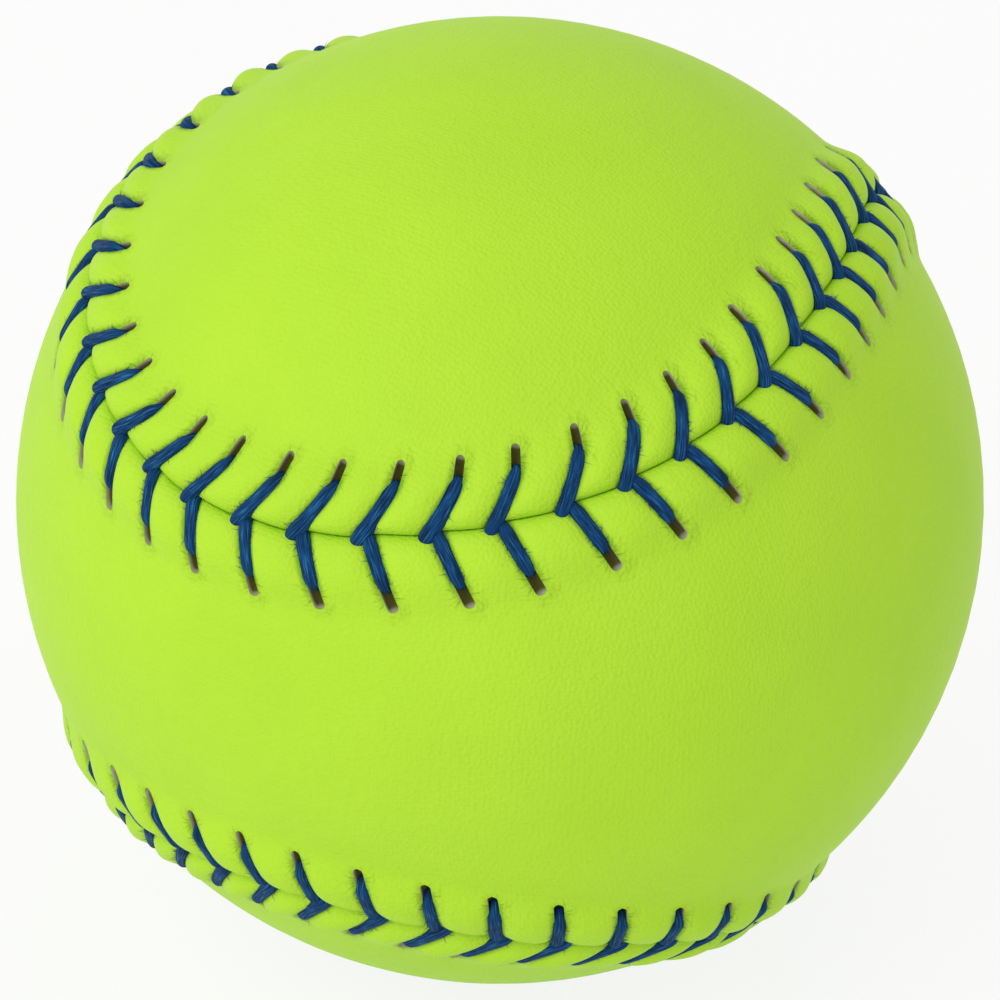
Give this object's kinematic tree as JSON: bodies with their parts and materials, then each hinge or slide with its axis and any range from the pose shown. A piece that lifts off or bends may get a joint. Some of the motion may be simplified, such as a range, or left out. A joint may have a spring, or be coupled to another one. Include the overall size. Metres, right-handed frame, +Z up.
{
  "type": "softball",
  "caption": "Softball with a figure-eight two-panel lime leather cover, laced over a moulded core with blue waxed thread along a raised seam.",
  "frame": {"origin": "centre of the ball", "axes": "+Z up through the upper lobe of the back panel, +X to the right through a lobe of the front panel, -Y towards the waist of the front panel, which faces the viewer"},
  "size_m": [0.097, 0.097, 0.097],
  "materials": {
    "core_foam": "moulded rigid polyurethane foam with a dull skin",
    "cement": "dried latex cement",
    "cover_leather": "lime synthetic leather with a fine grain and a low sheen",
    "seam_thread": "blue waxed multi-fibre thread"
  },
  "bodies": {
    "root": {"core": "core_foam", "cement_coat": "cement", "back_cover_panel": "cover_leather", "front_cover_panel": "cover_leather", "seam_thread_first_end": "seam_thread", "seam_thread_second_end": "seam_thread"}
  },
  "joints": []
}
